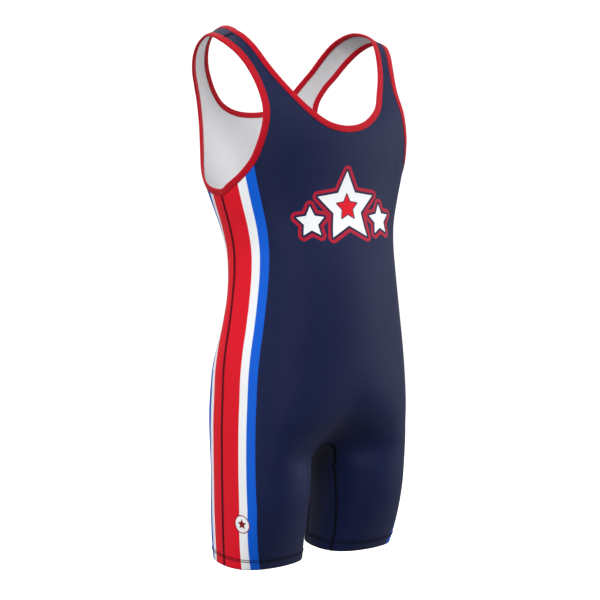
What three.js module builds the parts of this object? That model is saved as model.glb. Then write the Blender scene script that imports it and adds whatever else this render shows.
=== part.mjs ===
// Wrestling singlet: a one-piece sleeveless suit with thigh-length legs, in the hollow shape it takes when worn.
// Millimetres, +Z up, the front faces -Y and the wearer's left is +X.
// The origin lies between the shoulder straps, at the height of their crests, where a wearer's shoulders hold it.
//
// Front and back are one piece each, from the shoulder seams down to both leg hems. They meet at the side seams.
// A gusset runs from hem to hem up the inner thighs and under the crotch.
// Folded bindings close the neck and the two armholes.
import * as THREE from "three";

const WALL = 1.2; // stretch cloth
const HEM_WALL = 2.0; // cloth folded up inside the leg hem
const HEM_DEPTH = 17; // height of the folded-up hem
const SEAM_HALF_GAP = 0.16; // each panel stops this far from its seam line
const CUT_INSET = 1.5; // the cloth ends this far inside the outer edge of a binding
const HEM_Z = -833;
const FORK_Z = -690; // below this height each leg is a tube of its own
const UNDERARM_LEVEL = -247;
const SQUARENESS = 0.03; // third harmonic that fills out the corners of every section
const SADDLE_DIP = 5; // how far the gusset hangs below its front and back arches
const SHOULDER_SLOPE = 0.42; // drop of the shoulder for each millimetre outwards
const SHOULDER_X = 128; // where that drop starts to count
const VALLEY_REACH = 22; // how far from the centre line the cloth bridges the dip between the thighs
const VALLEY_LEAST = 0.4; // limits that bridging where a section closes before the centre line
const TURN_FROM = Math.PI / 3; // between these angles a section's half width turns from its outer to its inner one
const TURN_TO = (2 * Math.PI) / 3;
const EDGE_STRIP = 12; // the cells along a cut edge are this wide, to keep the cloth true under its binding
const COLUMNS = 11; // other cells across half a panel
const GUSSET_COLUMNS = 8;

// One row a section. Level runs up the cloth: it is the height up to the chest, and then the length of
// the profile over the shoulder. Width is half the width, depth the reach from the side seam to the front or
// back, lobe the x of a thigh's or buttock's middle, and reach its width from there towards the centre.
const FRONT_SECTIONS = [
  { level: -833, z: -833, width: 157, depth: 56, lobe: 91, reach: 69 },
  { level: -797, z: -797, width: 158.5, depth: 73, lobe: 93, reach: 66 },
  { level: -760, z: -760, width: 159.5, depth: 86, lobe: 94, reach: 66 },
  { level: -720, z: -720, width: 160, depth: 95, lobe: 95, reach: 68 },
  { level: -690, z: -690, width: 160.5, depth: 98, lobe: 95, reach: 70 },
  { level: -668, z: -668, width: 160.5, depth: 101, lobe: 94, reach: 80 },
  { level: -650, z: -650, width: 160.5, depth: 104, lobe: 90, reach: 101 },
  { level: -637, z: -637, width: 160.5, depth: 107, lobe: 83, reach: 104 },
  { level: -620, z: -620, width: 160.5, depth: 112, lobe: 71, reach: 107 },
  { level: -600, z: -600, width: 160, depth: 120, lobe: 54, reach: 111 },
  { level: -565, z: -565, width: 158.5, depth: 129, lobe: 29, reach: 117 },
  { level: -530, z: -530, width: 157, depth: 133, lobe: 9, reach: 122 },
  { level: -493, z: -493, width: 152.5, depth: 135, lobe: 0, reach: 125 },
  { level: -455, z: -455, width: 145.5, depth: 136, lobe: 0, reach: 125 },
  { level: -418, z: -418, width: 140, depth: 135, lobe: 0, reach: 125 },
  { level: -369, z: -369, width: 135.5, depth: 130, lobe: 0, reach: 125 },
  { level: -343, z: -343, width: 136, depth: 124, lobe: 0, reach: 125 },
  { level: -305, z: -305, width: 143.5, depth: 112, lobe: 0, reach: 125 },
  { level: -268, z: -268, width: 155, depth: 106, lobe: 0, reach: 125 },
  { level: -235, z: -235, width: 164, depth: 106, lobe: 0, reach: 125 },
  { level: -200, z: -200, width: 171, depth: 109, lobe: 0, reach: 125 },
  { level: -165, z: -165, width: 176, depth: 110, lobe: 0, reach: 125 },
  { level: -129, z: -130, width: 180, depth: 102, lobe: 0, reach: 125 },
  { level: -94, z: -100, width: 181, depth: 83, lobe: 0, reach: 125 },
  { level: -46, z: -60, width: 184, depth: 56, lobe: 0, reach: 125 },
  { level: -6, z: -30, width: 186, depth: 30, lobe: 0, reach: 125 },
  { level: 31, z: -9, width: 187, depth: 0, lobe: 0, reach: 125 },
  { level: 57, z: -2, width: 187, depth: -25, lobe: 0, reach: 125 },
];
const BACK_SECTIONS = [
  { level: -833, z: -833, width: 157, depth: 77, lobe: 91, reach: 69 },
  { level: -797, z: -797, width: 158.5, depth: 80, lobe: 93, reach: 66 },
  { level: -760, z: -760, width: 159.5, depth: 80, lobe: 94, reach: 66 },
  { level: -720, z: -720, width: 160, depth: 78, lobe: 95, reach: 68 },
  { level: -690, z: -690, width: 160.5, depth: 77, lobe: 95, reach: 70 },
  { level: -668, z: -668, width: 160.5, depth: 79, lobe: 95, reach: 80 },
  { level: -650, z: -650, width: 160.5, depth: 82, lobe: 92, reach: 104 },
  { level: -637, z: -637, width: 160.5, depth: 85, lobe: 88, reach: 109 },
  { level: -620, z: -620, width: 160.5, depth: 89, lobe: 81, reach: 118 },
  { level: -600, z: -600, width: 160, depth: 93, lobe: 73, reach: 128 },
  { level: -565, z: -565, width: 158.5, depth: 97, lobe: 55, reach: 140 },
  { level: -530, z: -530, width: 157, depth: 97, lobe: 34, reach: 135 },
  { level: -493, z: -493, width: 152.5, depth: 88, lobe: 12, reach: 128 },
  { level: -455, z: -455, width: 145.5, depth: 77, lobe: 0, reach: 125 },
  { level: -418, z: -418, width: 140, depth: 68, lobe: 0, reach: 125 },
  { level: -369, z: -369, width: 135.5, depth: 75, lobe: 0, reach: 125 },
  { level: -343, z: -343, width: 136, depth: 83, lobe: 0, reach: 125 },
  { level: -305, z: -305, width: 143.5, depth: 98, lobe: 0, reach: 125 },
  { level: -268, z: -268, width: 155, depth: 113, lobe: 0, reach: 125 },
  { level: -235, z: -235, width: 164, depth: 127, lobe: 0, reach: 125 },
  { level: -200, z: -200, width: 171, depth: 140, lobe: 0, reach: 125 },
  { level: -165, z: -165, width: 176, depth: 151, lobe: 0, reach: 125 },
  { level: -126, z: -126, width: 180, depth: 158, lobe: 0, reach: 125 },
  { level: -95, z: -95, width: 182, depth: 156, lobe: 0, reach: 125 },
  { level: -65, z: -65, width: 184, depth: 147, lobe: 0, reach: 125 },
  { level: -35, z: -38, width: 186, depth: 131, lobe: 0, reach: 125 },
  { level: -4, z: -17, width: 187, depth: 108, lobe: 0, reach: 125 },
  { level: 27, z: -5, width: 187, depth: 80, lobe: 0, reach: 125 },
  { level: 57, z: 0, width: 187, depth: 52, lobe: 0, reach: 125 },
  { level: 84, z: -2, width: 187, depth: 25, lobe: 0, reach: 125 },
  { level: 110, z: -9, width: 187, depth: 0, lobe: 0, reach: 125 },
  { level: 147, z: -30, width: 187, depth: -30, lobe: 0, reach: 125 },
];

// Cut edges on the front and back, from the lowest point up to the shoulder seam. The first neck row is on
// the centre line and the first armhole row on the side seam.
const SHOULDER_NECK_X = 127;
const SHOULDER_ARM_X = 163;
const FRONT_NECK = [
  { x: 0, level: -151 },
  { x: 32, level: -145 },
  { x: 58, level: -127 },
  { x: 81, level: -93 },
  { x: 104, level: -46 },
  { x: 117, level: -6 },
  { x: SHOULDER_NECK_X, level: 31 },
];
const BACK_NECK = [
  { x: 0, level: -126 },
  { x: 34, level: -122 },
  { x: 59, level: -110 },
  { x: 76, level: -92 },
  { x: 91, level: -71 },
  { x: 104, level: -50 },
  { x: 113, level: -25 },
  { x: 119, level: 5 },
  { x: 123, level: 45 },
  { x: 126, level: 82 },
  { x: SHOULDER_NECK_X, level: 110 },
];
const FRONT_ARMHOLE = [
  { x: Infinity, level: UNDERARM_LEVEL },
  { x: 161.5, level: -238 },
  { x: 157, level: -222 },
  { x: 149, level: -200 },
  { x: 143, level: -175 },
  { x: 135, level: -132 },
  { x: 133.5, level: -97 },
  { x: 142, level: -48 },
  { x: 154, level: -6 },
  { x: SHOULDER_ARM_X, level: 31 },
];
const BACK_ARMHOLE = [
  { x: Infinity, level: UNDERARM_LEVEL },
  { x: 155, level: -240 },
  { x: 143, level: -221 },
  { x: 131, level: -197 },
  { x: 122, level: -168 },
  { x: 118, level: -138 },
  { x: 121, level: -112 },
  { x: 131, level: -88 },
  { x: 144, level: -65 },
  { x: 152, level: -42 },
  { x: 158, level: -12 },
  { x: 162, level: 25 },
  { x: 165, level: 70 },
  { x: SHOULDER_ARM_X, level: 110 },
];

const QUARTER = Math.PI / 2;
const ACROSS = new THREE.Vector3(1, 0, 0);
const ARCH_TOP_Z = -650; // top of the gusset's arch, front and back
const GUSSET_ANGLES = [
  { level: HEM_Z, angle: (152 * Math.PI) / 180 },
  { level: FORK_Z, angle: (160 * Math.PI) / 180 },
];

// A smooth curve through the rows' values at their keys. Catmull-Rom with uneven spacing.
function curveThrough(keys, values, at) {
  let i = 0;
  while (i < keys.length - 2 && at > keys[i + 1]) i += 1;
  const slope = (a, b) => (values[b] - values[a]) / (keys[b] - keys[a]);
  const span = keys[i + 1] - keys[i];
  const here = slope(i, i + 1);
  const before = i > 0 ? slope(i - 1, i) : here;
  const after = i < keys.length - 2 ? slope(i + 1, i + 2) : here;
  const spanBefore = i > 0 ? keys[i] - keys[i - 1] : span;
  const spanAfter = i < keys.length - 2 ? keys[i + 2] - keys[i + 1] : span;
  const m0 = (before * span + here * spanBefore) / (span + spanBefore);
  const m1 = (here * spanAfter + after * span) / (span + spanAfter);
  const t = (at - keys[i]) / span;
  const t2 = t * t;
  const t3 = t2 * t;
  return (
    (2 * t3 - 3 * t2 + 1) * values[i] +
    (t3 - 2 * t2 + t) * span * m0 +
    (3 * t2 - 2 * t3) * values[i + 1] +
    (t3 - t2) * span * m1
  );
}

function smoothStep(from, to, at) {
  const t = Math.min(1, Math.max(0, (at - from) / (to - from)));
  return t * t * (3 - 2 * t);
}

// One side of the garment: way is -1 for the front and +1 for the back.
function makeSide(sections, neckRows, armholeRows, way) {
  const levels = sections.map((row) => row.level);
  const column = (name) => sections.map((row) => row[name]);
  const columns = {
    z: column("z"),
    width: column("width"),
    depth: column("depth"),
    lobe: column("lobe"),
    reach: column("reach"),
  };
  const read = (name, level) => curveThrough(levels, columns[name], level);
  const across = (angle) =>
    (Math.cos(angle) - SQUARENESS * Math.cos(3 * angle)) / (1 - SQUARENESS);
  const outwards = (angle) =>
    (Math.sin(angle) + SQUARENESS * Math.sin(3 * angle)) / (1 - SQUARENESS);

  function xAt(angle, level) {
    const lobe = Math.max(0, read("lobe", level));
    const outer = read("width", level) - lobe;
    const half = outer + (read("reach", level) - outer) * smoothStep(TURN_FROM, TURN_TO, angle);
    return lobe + half * across(angle);
  }

  // The angle of a section at which it reaches x, between the side seam (0) and the inner side (a half turn).
  function angleAt(x, level) {
    let low = 0;
    let high = Math.PI;
    for (let step = 0; step < 50; step += 1) {
      const middle = (low + high) / 2;
      if (xAt(middle, level) > x) low = middle;
      else high = middle;
    }
    return (low + high) / 2;
  }

  // A point of the outer surface for x >= 0. Angle 0 is the side seam.
  function point(angle, level) {
    const x = xAt(angle, level);
    const depth = read("depth", level);
    let y = depth * outwards(angle);
    const lobe = read("lobe", level);
    if (lobe > 0.5 && level > FORK_Z) {
      const edge = angleAt(0, level);
      const step = 0.002;
      const dy = depth * (outwards(edge) - outwards(edge - step));
      const dx = xAt(edge, level) - xAt(edge - step, level);
      const fade = smoothStep(FORK_Z, ARCH_TOP_Z, level);
      const slope = Math.max(-2, Math.min(2, dy / dx));
      const share = outwards(angle) / Math.max(VALLEY_LEAST, outwards(edge));
      y -= fade * slope * share * x * Math.exp(-x / VALLEY_REACH);
    }
    const top = smoothStep(-70, 0, read("z", level));
    const z = read("z", level) - top * SHOULDER_SLOPE * (x - SHOULDER_X);
    return new THREE.Vector3(x, way * y, z);
  }

  // A cut edge as a smooth curve in angle and level, with a mirrored point before its lowest one.
  function edge(rows, ghostAngle, ghostLevel) {
    const spots = rows.map((row) => ({
      angle: row.x === Infinity ? 0 : row.x === 0 ? QUARTER : angleAt(row.x, row.level),
      level: row.level,
    }));
    const all = [{ angle: ghostAngle(spots[1]), level: ghostLevel(spots[1]) }, ...spots];
    const keys = [0];
    for (let i = 1; i < all.length; i += 1) {
      const a = point(Math.abs(all[i - 1].angle), all[i - 1].level);
      const b = point(all[i].angle, all[i].level);
      const gap = i === 1 ? point(all[2].angle, all[2].level).distanceTo(b) : a.distanceTo(b);
      keys.push(keys[i - 1] + gap);
    }
    const angles = all.map((spot) => spot.angle);
    const heights = all.map((spot) => spot.level);
    const start = keys[1];
    const length = keys[keys.length - 1] - start;
    return (share) => ({
      angle: curveThrough(keys, angles, start + share * length),
      level: curveThrough(keys, heights, start + share * length),
    });
  }
  const neck = edge(neckRows, (spot) => 2 * QUARTER - spot.angle, (spot) => spot.level);
  const armhole = edge(armholeRows, (spot) => -spot.angle, (spot) => spot.level);

  // The gusset seam: up the inner thigh, and then round its arch to the centre line.
  function gussetAngle(level) {
    const keys = GUSSET_ANGLES.map((row) => row.level);
    return curveThrough(keys, GUSSET_ANGLES.map((row) => row.angle), level);
  }
  function arch(share) {
    const turn = share * QUARTER;
    const startX = xAt(gussetAngle(FORK_Z), FORK_Z);
    const level = FORK_Z + (ARCH_TOP_Z - FORK_Z) * Math.sin(turn);
    return { angle: angleAt(startX * Math.cos(turn), level), level };
  }
  return { point, angleAt, neck, armhole, gussetAngle, arch, way };
}

const FRONT = makeSide(FRONT_SECTIONS, FRONT_NECK, FRONT_ARMHOLE, -1);
const BACK = makeSide(BACK_SECTIONS, BACK_NECK, BACK_ARMHOLE, 1);

// The surface direction at a point of a side, pointing out of the garment.
function normalAt(side, angle, level) {
  const step = 0.01;
  const a = Math.max(angle, step);
  const alongAngle = side.point(a + step, level).sub(side.point(a - step, level));
  const alongLevel = side.point(a, level + 1).sub(side.point(a, level - 1));
  const normal = alongAngle.cross(alongLevel).multiplyScalar(side.way).normalize();
  if (angle < 2 * step) normal.setY(0).normalize();
  return normal;
}

// A frame at a share of a cut edge: the spot, and how angle and level change for each millimetre into the
// cloth. Both ends of an edge stay in the planes where it meets its mirrored half or the other panel.
function cutFrame(side, edge, share) {
  const step = 0.004;
  const spot = edge(share);
  const before = edge(Math.max(0, share - step));
  const after = edge(Math.min(1, share + step));
  const along = side.point(Math.abs(after.angle), after.level);
  along.sub(side.point(Math.abs(before.angle), before.level)).normalize();
  const inward = normalAt(side, spot.angle, spot.level).cross(along).normalize();
  const towards = edge === side.neck ? new THREE.Vector3(1, 0, -0.6) : new THREE.Vector3(-1, 0, 0);
  if (share < 0.35) towards.z = -1;
  if (inward.dot(towards) < 0) inward.negate();
  const base = side.point(spot.angle, spot.level);
  const alongAngle = side.point(spot.angle + 0.01, spot.level).sub(base).multiplyScalar(100);
  const alongLevel = side.point(spot.angle, spot.level + 1).sub(base);
  const aa = alongAngle.lengthSq();
  const al = alongAngle.dot(alongLevel);
  const ll = alongLevel.lengthSq();
  const ia = inward.dot(alongAngle);
  const il = inward.dot(alongLevel);
  const determinant = aa * ll - al * al;
  let angleRate = (ia * ll - il * al) / determinant;
  let levelRate = (il * aa - ia * al) / determinant;
  if (share === 0) {
    angleRate = 0;
    levelRate = -1 / Math.sqrt(ll);
  }
  if (share === 1) {
    levelRate = 0;
    angleRate = Math.sign(angleRate) / Math.sqrt(aa);
  }
  const at = (inset) => ({ angle: spot.angle + angleRate * inset, level: spot.level + levelRate * inset });
  return { at, onCentre: share === 0 && edge === side.neck };
}

// The outer and inner point of the cloth at an angle and level. Points on the centre line, the side seam and
// the shoulder seam are kept in their planes.
function clothSpot(side, { angle, level }, wall, { onCentre, atShoulder } = {}) {
  const outer = side.point(angle, level);
  const normal = normalAt(side, angle, level);
  if (onCentre) {
    outer.x = 0;
    normal.setX(0).normalize();
  }
  const inner = outer.clone().addScaledVector(normal, -wall);
  if (angle === 0 || atShoulder) {
    outer.y = side.way * SEAM_HALF_GAP;
    inner.y = side.way * SEAM_HALF_GAP;
  }
  return { outer, inner };
}

const LEG_ROWS = 4;
const ARCH_ROWS = 6;
const BODY_ROWS = 13;
const BODY_OUTER_START = -642;
const FRONT_STRAP_ROWS = 28;
const BACK_STRAP_ROWS = 36;
const LEG_LEVELS = [HEM_Z, HEM_Z + HEM_DEPTH, HEM_Z + HEM_DEPTH + 1];
for (let i = 1; i <= LEG_ROWS; i += 1) {
  const start = HEM_Z + HEM_DEPTH + 1;
  LEG_LEVELS.push(start + ((FORK_Z - start) * i) / LEG_ROWS);
}
const wallAt = (level) => (level <= HEM_Z + HEM_DEPTH ? HEM_WALL : WALL);

// The main rows of half a panel, each from its outer end (side seam, armhole) to its inner end (gusset seam,
// centre line, neck). Above the underarm they stop EDGE_STRIP short of the cut edges. A row with sag hangs
// below the straight line between its ends, so that it clears the corner of the armhole.
function panelRows(side, strapRows) {
  const rows = LEG_LEVELS.map((level) => ({
    ends: [{ angle: 0, level }, { angle: side.gussetAngle(level), level }],
    wall: wallAt(level),
  }));
  for (let i = 1; i <= ARCH_ROWS; i += 1) {
    const share = i / ARCH_ROWS;
    const level = FORK_Z + (BODY_OUTER_START - FORK_Z) * share;
    const ends = [{ angle: 0, level }, side.arch(share)];
    rows.push({ ends, wall: WALL, onCentre: i === ARCH_ROWS, archTop: i === ARCH_ROWS });
  }
  const last = [side.armhole, side.neck].map((edge) => cutFrame(side, edge, 0).at(EDGE_STRIP).level);
  for (let i = 1; i <= BODY_ROWS; i += 1) {
    const share = i / BODY_ROWS;
    const outer = BODY_OUTER_START + (last[0] - BODY_OUTER_START) * share;
    const level = ARCH_TOP_Z + (last[1] - ARCH_TOP_Z) * share;
    const ends = [{ angle: 0, level: outer }, { angle: side.angleAt(0, level), level }];
    rows.push({ ends, wall: WALL, onCentre: true, sag: share * share });
  }
  for (let i = 1; i <= strapRows; i += 1) {
    const share = i / strapRows;
    const ends = [side.armhole, side.neck].map((edge) => cutFrame(side, edge, share).at(EDGE_STRIP));
    const sag = Math.max(0, 1 - 2.5 * share);
    rows.push({ ends, wall: WALL, atShoulder: i === strapRows, sag });
  }
  return rows;
}

// Moves the edge of a shell that lies along the gusset seam off that seam, square to it, within the cloth.
function insetGussetSeam(grid, spots) {
  const vertex = ([i, j]) => grid[i][j].outer;
  const moves = spots.map(({ at, inside, tangent }, k) => {
    const before = vertex(spots[Math.max(0, k - 1)].at);
    const after = vertex(spots[Math.min(spots.length - 1, k + 1)].at);
    const along = tangent ? tangent.clone() : after.clone().sub(before);
    const through = grid[at[0]][at[1]].inner.clone().sub(vertex(at));
    const move = along.cross(through).normalize();
    if (move.dot(vertex(inside).clone().sub(vertex(at))) < 0) move.negate();
    return move.multiplyScalar(SEAM_HALF_GAP);
  });
  spots.forEach(({ at: [i, j] }, k) => {
    grid[i][j].outer.add(moves[k]);
    grid[i][j].inner.add(moves[k]);
  });
}

// Half a panel: its main grid, and a strip along each of its two cut edges.
function halfPanel(side, strapRows) {
  const rows = panelRows(side, strapRows);
  const main = rows.map(({ ends, wall, onCentre, atShoulder, sag = 0 }) =>
    Array.from({ length: COLUMNS + 1 }, (_, j) => {
      const share = j / COLUMNS;
      const angle = ends[0].angle + (ends[1].angle - ends[0].angle) * share;
      const level = ends[0].level + (ends[1].level - ends[0].level) * share ** (1 + sag);
      return clothSpot(side, { angle, level }, wall, { onCentre: onCentre && j === COLUMNS, atShoulder });
    }),
  );
  const archTop = rows.findIndex((row) => row.archTop);
  const seam = Array.from({ length: archTop + 1 }, (_, i) => ({ at: [i, COLUMNS], inside: [i, COLUMNS - 1] }));
  seam[archTop] = { at: [archTop, COLUMNS], inside: [archTop + 1, COLUMNS], tangent: ACROSS };
  insetGussetSeam(main, seam);
  const foot = rows.length - 1 - strapRows;
  const strip = (edge, column) =>
    Array.from({ length: strapRows + 1 }, (_, i) => {
      const { at, onCentre } = cutFrame(side, edge, i / strapRows);
      const rim = clothSpot(side, at(CUT_INSET), WALL, { onCentre, atShoulder: i === strapRows });
      return [rim, main[foot + i][column]];
    });
  const neckStrip = strip(side.neck, COLUMNS).map((line) => line.reverse());
  return [main, strip(side.armhole, 0), neckStrip];
}

const mirror = (v) => new THREE.Vector3(-v.x, v.y, v.z);
const mirrorGrid = (grid) =>
  grid.map((line) => line.map(({ outer, inner }) => ({ outer: mirror(outer), inner: mirror(inner) })));

// The two triangles of a quad, split along its shorter diagonal.
function splitQuad([a, b, c, d], place) {
  if (place(a).distanceTo(place(c)) <= place(b).distanceTo(place(d))) return [[a, b, c], [a, c, d]];
  return [[a, b, d], [b, c, d]];
}

// A closed solid from grids of outer and inner points. Walls close it along every edge that no other cell
// shares. With flip, the cells of a grid are wound the other way round.
function closedShell(patches) {
  const outer = [];
  const inner = [];
  const found = new Map();
  const indexOf = (spot) => {
    const key = spot.outer.toArray().map((value) => Math.round(value * 1000)).join(",");
    if (!found.has(key)) {
      found.set(key, outer.length);
      outer.push(spot.outer);
      inner.push(spot.inner);
    }
    return found.get(key);
  };
  const cells = [];
  for (const { grid, flip } of patches) {
    const indices = grid.map((line) => line.map(indexOf));
    for (let i = 0; i < grid.length - 1; i += 1) {
      for (let j = 0; j < grid[i].length - 1; j += 1) {
        const corners = [indices[i][j], indices[i][j + 1], indices[i + 1][j + 1], indices[i + 1][j]];
        if (flip) corners.reverse();
        cells.push(...splitQuad(corners, (index) => outer[index]));
      }
    }
  }
  const count = outer.length;
  const edges = new Set(cells.flatMap(([a, b, c]) => [`${a},${b}`, `${b},${c}`, `${c},${a}`]));
  const faces = [];
  for (const [a, b, c] of cells) {
    faces.push([a, b, c], [c + count, b + count, a + count]);
    for (const [from, to] of [[a, b], [b, c], [c, a]]) {
      if (edges.has(`${to},${from}`)) continue;
      faces.push([to, from, from + count], [to, from + count, to + count]);
    }
  }
  const geometry = new THREE.BufferGeometry();
  const positions = [...outer, ...inner].flatMap((v) => v.toArray());
  geometry.setAttribute("position", new THREE.Float32BufferAttribute(positions, 3));
  geometry.setIndex(faces.flat());
  return geometry;
}

function panel(side, strapRows) {
  const flip = side === FRONT;
  const patches = halfPanel(side, strapRows).flatMap((grid) => [
    { grid, flip },
    { grid: mirrorGrid(grid), flip: !flip },
  ]);
  return closedShell(patches);
}

// The gusset: the inner side of each leg below the fork, and a saddle between the legs above it.
function gussetHalf() {
  const column = (j) => {
    const across = (2 * j) / GUSSET_COLUMNS - 1;
    return { side: across < 0 ? FRONT : BACK, share: 1 - Math.abs(across) };
  };
  const legSpot = (j, level) => {
    const { side, share } = column(j);
    const seam = side.gussetAngle(level);
    const angle = seam + (Math.PI - seam) * share;
    const normal = normalAt(side, Math.min(angle, Math.PI - 0.02), level);
    if (share === 1) normal.setY(0).normalize();
    const outer = side.point(angle, level);
    return { outer, inner: outer.clone().addScaledVector(normal, -wallAt(level)) };
  };
  const columns = Array.from({ length: GUSSET_COLUMNS + 1 }, (_, j) => j);
  const grid = LEG_LEVELS.map((level) => columns.map((j) => legSpot(j, level)));

  const archPoint = (side, share) => {
    const at = side.arch(share);
    return side.point(at.angle, at.level);
  };
  const seamNormal = (side, share) => {
    const at = side.arch(share);
    const normal = normalAt(side, at.angle, at.level);
    if (share === 1) normal.setX(0).normalize();
    return normal;
  };
  const tops = [FRONT, BACK].map((side) => archPoint(side, 1));
  const rough = (j, share) => {
    const across = j / GUSSET_COLUMNS;
    const foot = legSpot(j, FORK_Z).outer;
    const below = legSpot(j, FORK_Z - 10).outer;
    const top = tops[0].clone().lerp(tops[1], across).setX(0);
    top.z -= SADDLE_DIP * Math.sin(across * Math.PI);
    const pull = 1.1 * foot.distanceTo(top);
    const up = foot.clone().sub(below).normalize().multiplyScalar(pull);
    const over = new THREE.Vector3(-pull, 0, 0);
    const t2 = share * share;
    const t3 = t2 * share;
    const spot = foot.multiplyScalar(2 * t3 - 3 * t2 + 1).addScaledVector(up, t3 - 2 * t2 + share);
    return spot.addScaledVector(top, 3 * t2 - 2 * t3).addScaledVector(over, t3 - t2);
  };
  const saddle = (j, share) => {
    const across = j / GUSSET_COLUMNS;
    const miss = [archPoint(FRONT, share).sub(rough(0, share))];
    miss.push(archPoint(BACK, share).sub(rough(GUSSET_COLUMNS, share)));
    return rough(j, share).addScaledVector(miss[0], 1 - across).addScaledVector(miss[1], across);
  };
  for (let i = 1; i <= ARCH_ROWS; i += 1) {
    const share = i / ARCH_ROWS;
    grid.push(
      columns.map((j) => {
        const outer = saddle(j, share);
        const upwards = outer.clone().sub(saddle(j, share - 0.02));
        const across = saddle(Math.min(GUSSET_COLUMNS, j + 0.05), share).sub(saddle(Math.max(0, j - 0.05), share));
        const normal = upwards.cross(across).normalize();
        if (normal.z > 0) normal.negate();
        if (i === ARCH_ROWS) {
          outer.x = 0;
          normal.setX(0).normalize();
        }
        if (j === 0) normal.copy(seamNormal(FRONT, share));
        if (j === GUSSET_COLUMNS) normal.copy(seamNormal(BACK, share));
        return { outer, inner: outer.clone().addScaledVector(normal, -WALL) };
      }),
    );
  }
  const end = grid.length - 1;
  for (const [j, inside] of [[0, 1], [GUSSET_COLUMNS, GUSSET_COLUMNS - 1]]) {
    const seam = grid.map((_, i) => ({ at: [i, j], inside: [i, inside] }));
    seam[end].tangent = ACROSS;
    insetGussetSeam(grid, seam);
  }
  return grid;
}

// A ring of closed sections, joined into one solid.
function ring(sections) {
  const corners = sections[0].length;
  const points = sections.flat();
  const faces = [];
  sections.forEach((_, i) => {
    const next = (i + 1) % sections.length;
    for (let k = 0; k < corners; k += 1) {
      const m = (k + 1) % corners;
      const quad = [i * corners + k, next * corners + k, next * corners + m, i * corners + m];
      faces.push(...splitQuad(quad, (index) => points[index]));
    }
  });
  const geometry = new THREE.BufferGeometry();
  const positions = points.flatMap((v) => v.toArray());
  geometry.setAttribute("position", new THREE.Float32BufferAttribute(positions, 3));
  geometry.setIndex(faces.flat());
  return geometry;
}

// The folded binding's section: distance in from its outer edge, and height over the cloth's outer face.
const BIND_OUTSIDE = 10.5; // reach of the binding on the outside
const BIND_INSIDE = 9.5; // reach on the inside
const BIND_CLOTH = 0.9; // thickness of the binding cloth
const BIND_GAP = 0.7; // clearance to the cloth it closes
const BIND_TOP = BIND_GAP + BIND_CLOTH;
const BINDING_SECTION = [
  { inset: BIND_OUTSIDE, height: BIND_TOP - 0.15 },
  { inset: 0.3, height: BIND_TOP },
  { inset: 0, height: -WALL - BIND_TOP + 0.3 },
  { inset: BIND_INSIDE, height: -WALL - BIND_TOP + 0.15 },
  { inset: BIND_INSIDE, height: -WALL - BIND_GAP },
  { inset: CUT_INSET - 0.6, height: -WALL - BIND_GAP },
  { inset: CUT_INSET - 0.6, height: BIND_GAP },
  { inset: BIND_OUTSIDE, height: BIND_GAP },
];

// Sections of a binding along one cut edge of a side, at the panel's own rows.
function bindingSections(side, edge, count) {
  return Array.from({ length: count + 1 }, (_, i) => {
    const { at, onCentre } = cutFrame(side, edge, i / count);
    return BINDING_SECTION.map(({ inset, height }) => {
      const { angle, level } = at(inset);
      const spot = side.point(Math.abs(angle), level);
      const lift = normalAt(side, Math.abs(angle), level);
      if (onCentre) lift.setX(0).normalize();
      spot.addScaledVector(lift, height);
      if (onCentre) spot.x = 0;
      return spot;
    });
  });
}

const joined = (first, second) => [...first.slice(0, -1), ...[...second].reverse()];

function neckBinding() {
  const front = bindingSections(FRONT, FRONT.neck, FRONT_STRAP_ROWS);
  const back = bindingSections(BACK, BACK.neck, BACK_STRAP_ROWS);
  const half = joined(front, back);
  const otherHalf = half.slice(1, -1).map((section) => section.map(mirror)).reverse();
  return ring([...half, ...otherHalf]);
}

function armholeBinding(mirrored) {
  const front = bindingSections(FRONT, FRONT.armhole, FRONT_STRAP_ROWS);
  const back = bindingSections(BACK, BACK.armhole, BACK_STRAP_ROWS);
  const loop = joined(back, front).slice(0, -1);
  return ring(mirrored ? loop.map((section) => section.map(mirror)).reverse() : loop);
}

const NAVY = new THREE.MeshStandardMaterial({ color: 0x1f2748, roughness: 0.55, metalness: 0 });
const RED = new THREE.MeshStandardMaterial({ color: 0xc8102e, roughness: 0.6, metalness: 0 });

const singlet = new THREE.Group();
function add(name, geometry, material) {
  geometry.computeVertexNormals();
  const mesh = new THREE.Mesh(geometry, material);
  mesh.name = name;
  singlet.add(mesh);
}
add("front_panel", panel(FRONT, FRONT_STRAP_ROWS), NAVY);
add("back_panel", panel(BACK, BACK_STRAP_ROWS), NAVY);
const gusset = gussetHalf();
add("gusset", closedShell([{ grid: gusset, flip: true }, { grid: mirrorGrid(gusset), flip: false }]), NAVY);
add("neck_binding", neckBinding(), RED);
add("armhole_binding_left", armholeBinding(false), RED);
add("armhole_binding_right", armholeBinding(true), RED);

export default singlet;
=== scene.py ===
"""The looks of the wrestling singlet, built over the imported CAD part.

Each cloth piece is a fine shell on the same section tables as the CAD part. The printed side bands, the
print on the chest and the disc near the hem are colour alone. The stitches are threads on the surface.
The tables are in millimetres, as in the CAD part. +Z is up and the front faces -Y.
"""
import math

import bpy
import numpy as np
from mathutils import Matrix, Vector
from mathutils.geometry import delaunay_2d_cdt


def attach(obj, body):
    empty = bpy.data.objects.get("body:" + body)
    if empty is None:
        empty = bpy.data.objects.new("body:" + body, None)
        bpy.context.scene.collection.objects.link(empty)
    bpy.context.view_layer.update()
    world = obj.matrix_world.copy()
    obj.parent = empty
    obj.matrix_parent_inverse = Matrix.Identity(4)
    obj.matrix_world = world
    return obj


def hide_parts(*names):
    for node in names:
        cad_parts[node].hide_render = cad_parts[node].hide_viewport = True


# Sizes in millimetres, as in the CAD part.
WALL = 1.2
HEM_WALL = 2.0
HEM_DEPTH = 17
SEAM_HALF_GAP = 0.16
# How far a panel's cut edge lies inside the binding's own edge.
CUT_INSET = 1.5

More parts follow.
